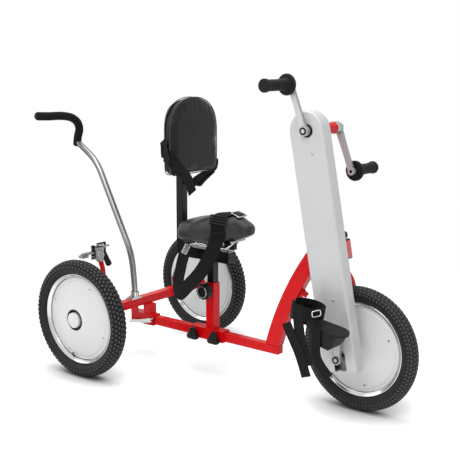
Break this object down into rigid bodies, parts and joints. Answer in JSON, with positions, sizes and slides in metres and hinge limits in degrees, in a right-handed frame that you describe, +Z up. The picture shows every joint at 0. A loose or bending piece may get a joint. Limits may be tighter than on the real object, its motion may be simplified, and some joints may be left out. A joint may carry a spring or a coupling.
{
  "type": "adaptive tricycle",
  "caption": "Adaptive tricycle with hand crank and foot cranks on the front wheel, chain guard, saddle with belt, back pad with chest strap, parking brake and push bar.",
  "frame": {"origin": "on the floor under the middle of the box round the whole tricycle", "axes": "+X the way it travels, +Y the rider's left, +Z up"},
  "size_m": [1.4, 0.7272, 1.0377],
  "materials": {
    "red_paint": "gloss paint",
    "silver_paint": "satin paint",
    "white_disc": "smooth moulded",
    "chrome": "polished",
    "steel": "machined",
    "alloy": "polished",
    "black_paint": "semi-gloss paint",
    "black_plastic": "moulded",
    "grip_rubber": "ribbed",
    "tyre_rubber": "matt",
    "vinyl": "grained cover over foam",
    "webbing": "woven webbing",
    "red_lens": "clear red"
  },
  "bodies": {
    "frame": {"main_tube": "red_paint", "down_tube": "red_paint", "head_tube": "red_paint", "front_reflector": "black_plastic"},
    "steering_knob": {"steering_knob": "black_plastic"},
    "rear_carriage": {"rear_crossbar": "red_paint", "rear_receiver": "red_paint", "brake_body": "steel", "rear_reflector": "red_lens", "push_bar_clamp": "chrome"},
    "receiver_lever": {"receiver_lever": "chrome"},
    "brake_handle": {"brake_handle": "grip_rubber"},
    "brake_shoe": {"brake_shoe": "steel"},
    "push_bar": {"push_bar": "chrome", "push_bar_grip": "grip_rubber"},
    "rear_wheel_right": {"rear_tyre_right": "tyre_rubber", "rear_rim_right": "chrome", "rear_disc_right": "white_disc", "rear_hub_cap_right": "white_disc"},
    "rear_wheel_left": {"rear_tyre_left": "tyre_rubber", "rear_rim_left": "chrome", "rear_disc_left": "white_disc", "rear_hub_cap_left": "white_disc"},
    "seat_carriage": {"seat_sleeve": "red_paint"},
    "sleeve_knob_rear": {"sleeve_knob_rear": "black_plastic"},
    "sleeve_knob_front": {"sleeve_knob_front": "black_plastic"},
    "seat_post_knob": {"seat_post_knob": "black_plastic"},
    "saddle": {"seat_post": "black_paint", "saddle_bracket": "black_paint", "saddle_rails": "chrome", "saddle_cushion": "vinyl", "saddle_belt": "webbing", "belt_buckle": "chrome"},
    "back_post": {"back_post": "black_paint"},
    "back_rest": {"back_board": "black_paint", "back_pad": "vinyl", "chest_strap_right": "webbing", "chest_strap_left": "webbing"},
    "steering": {"steering_fork": "red_paint", "steering_mast": "red_paint", "chain_guard": "silver_paint", "guard_back": "silver_paint", "drive_chain": "steel"},
    "front_wheel": {"front_tyre": "tyre_rubber", "front_rim": "chrome", "front_disc": "white_disc", "front_axle": "steel", "lower_sprocket": "steel", "foot_crank_right": "alloy", "foot_crank_left": "alloy"},
    "hand_crank": {"hand_crank_axle": "steel", "upper_sprocket": "steel", "hand_crank_right": "alloy", "hand_crank_left": "alloy"},
    "hand_grip_right": {"hand_grip_right": "grip_rubber"},
    "hand_grip_left": {"hand_grip_left": "grip_rubber"},
    "foot_pedal_right": {"foot_pedal_right": "black_plastic", "foot_cuff_right": "webbing"},
    "foot_pedal_left": {"foot_pedal_left": "black_plastic", "foot_cuff_left": "webbing"}
  },
  "joints": [
    {"name": "steering", "type": "hinge", "parent": "frame", "child": "steering", "pos_m": [0.47547, 0, 0.19291], "axis": [-0.1894, 0, 0.9819], "range_deg": [-35, 35]},
    {"name": "steering_knob_turn", "type": "hinge", "parent": "frame", "child": "steering_knob", "pos_m": [0.4261, 0, 0.54594], "axis": [0.9819, 0, 0.1894], "range_deg": [0, 360]},
    {"name": "front_wheel_spin", "type": "hinge", "parent": "steering", "child": "front_wheel", "pos_m": [0.50198, 0, 0.19802], "axis": [0, 1, 0], "continuous": true},
    {"name": "hand_crank_spin", "type": "hinge", "parent": "steering", "child": "hand_crank", "pos_m": [0.37206, 0, 0.8714], "axis": [0, 1, 0], "continuous": true},
    {"name": "hand_grip_right_spin", "type": "hinge", "parent": "hand_crank", "child": "hand_grip_right", "pos_m": [0.32315, -0.213, 1.00578], "axis": [0, 1, 0], "continuous": true},
    {"name": "hand_grip_left_spin", "type": "hinge", "parent": "hand_crank", "child": "hand_grip_left", "pos_m": [0.42097, 0.132, 0.73703], "axis": [0, 1, 0], "continuous": true},
    {"name": "foot_pedal_right_spin", "type": "hinge", "parent": "front_wheel", "child": "foot_pedal_right", "pos_m": [0.51086, -0.191, 0.28255], "axis": [0, 1, 0], "continuous": true},
    {"name": "foot_pedal_left_spin", "type": "hinge", "parent": "front_wheel", "child": "foot_pedal_left", "pos_m": [0.4931, 0.13, 0.11349], "axis": [0, 1, 0], "continuous": true},
    {"name": "rear_carriage_slide", "type": "slide", "parent": "frame", "child": "rear_carriage", "axis": [1, 0, 0], "range_m": [-0.03, 0.06]},
    {"name": "receiver_lever_swing", "type": "hinge", "parent": "rear_carriage", "child": "receiver_lever", "pos_m": [-0.35802, -0.028, 0.13502], "axis": [0, -1, 0], "range_deg": [0, 85]},
    {"name": "rear_wheel_right_spin", "type": "hinge", "parent": "rear_carriage", "child": "rear_wheel_right", "pos_m": [-0.40202, -0.326, 0.20302], "axis": [0, 1, 0], "continuous": true},
    {"name": "rear_wheel_left_spin", "type": "hinge", "parent": "rear_carriage", "child": "rear_wheel_left", "pos_m": [-0.40202, 0.326, 0.20302], "axis": [0, 1, 0], "continuous": true},
    {"name": "brake_handle_swing", "type": "hinge", "parent": "rear_carriage", "child": "brake_handle", "pos_m": [-0.40202, -0.229, 0.42802], "axis": [1, 0, 0], "range_deg": [0, 40]},
    {"name": "brake_shoe_press", "type": "hinge", "parent": "rear_carriage", "child": "brake_shoe", "pos_m": [-0.40202, -0.249, 0.42202], "axis": [1, 0, 0], "range_deg": [0, 3.5]},
    {"name": "push_bar_lift", "type": "slide", "parent": "rear_carriage", "child": "push_bar", "axis": [0, 0, 1], "range_m": [0, 0.018]},
    {"name": "seat_carriage_slide", "type": "slide", "parent": "frame", "child": "seat_carriage", "axis": [1, 0, 0], "range_m": [-0.06, 0.08]},
    {"name": "sleeve_knob_rear_turn", "type": "hinge", "parent": "seat_carriage", "child": "sleeve_knob_rear", "pos_m": [-0.14802, -0.038, 0.12502], "axis": [0, -1, 0], "range_deg": [0, 360]},
    {"name": "sleeve_knob_front_turn", "type": "hinge", "parent": "seat_carriage", "child": "sleeve_knob_front", "pos_m": [-0.05502, -0.038, 0.12502], "axis": [0, -1, 0], "range_deg": [0, 360]},
    {"name": "seat_post_knob_turn", "type": "hinge", "parent": "seat_carriage", "child": "seat_post_knob", "pos_m": [-0.09102, -0.038, 0.29002], "axis": [0, -1, 0], "range_deg": [0, 360]},
    {"name": "seat_post_slide", "type": "slide", "parent": "seat_carriage", "child": "saddle", "axis": [0, 0, 1], "range_m": [-0.018, 0.08]},
    {"name": "back_post_slide", "type": "slide", "parent": "saddle", "child": "back_post", "axis": [1, 0, 0], "range_m": [-0.06, 0.01]},
    {"name": "back_rest_slide", "type": "slide", "parent": "back_post", "child": "back_rest", "axis": [0, 0, 1], "range_m": [-0.04, 0.06]}
  ],
  "couplings": [
    {"joint": "hand_crank_spin", "follows": "front_wheel_spin", "ratio": 1},
    {"joint": "brake_shoe_press", "follows": "brake_handle_swing", "ratio": 0.0875}
  ]
}
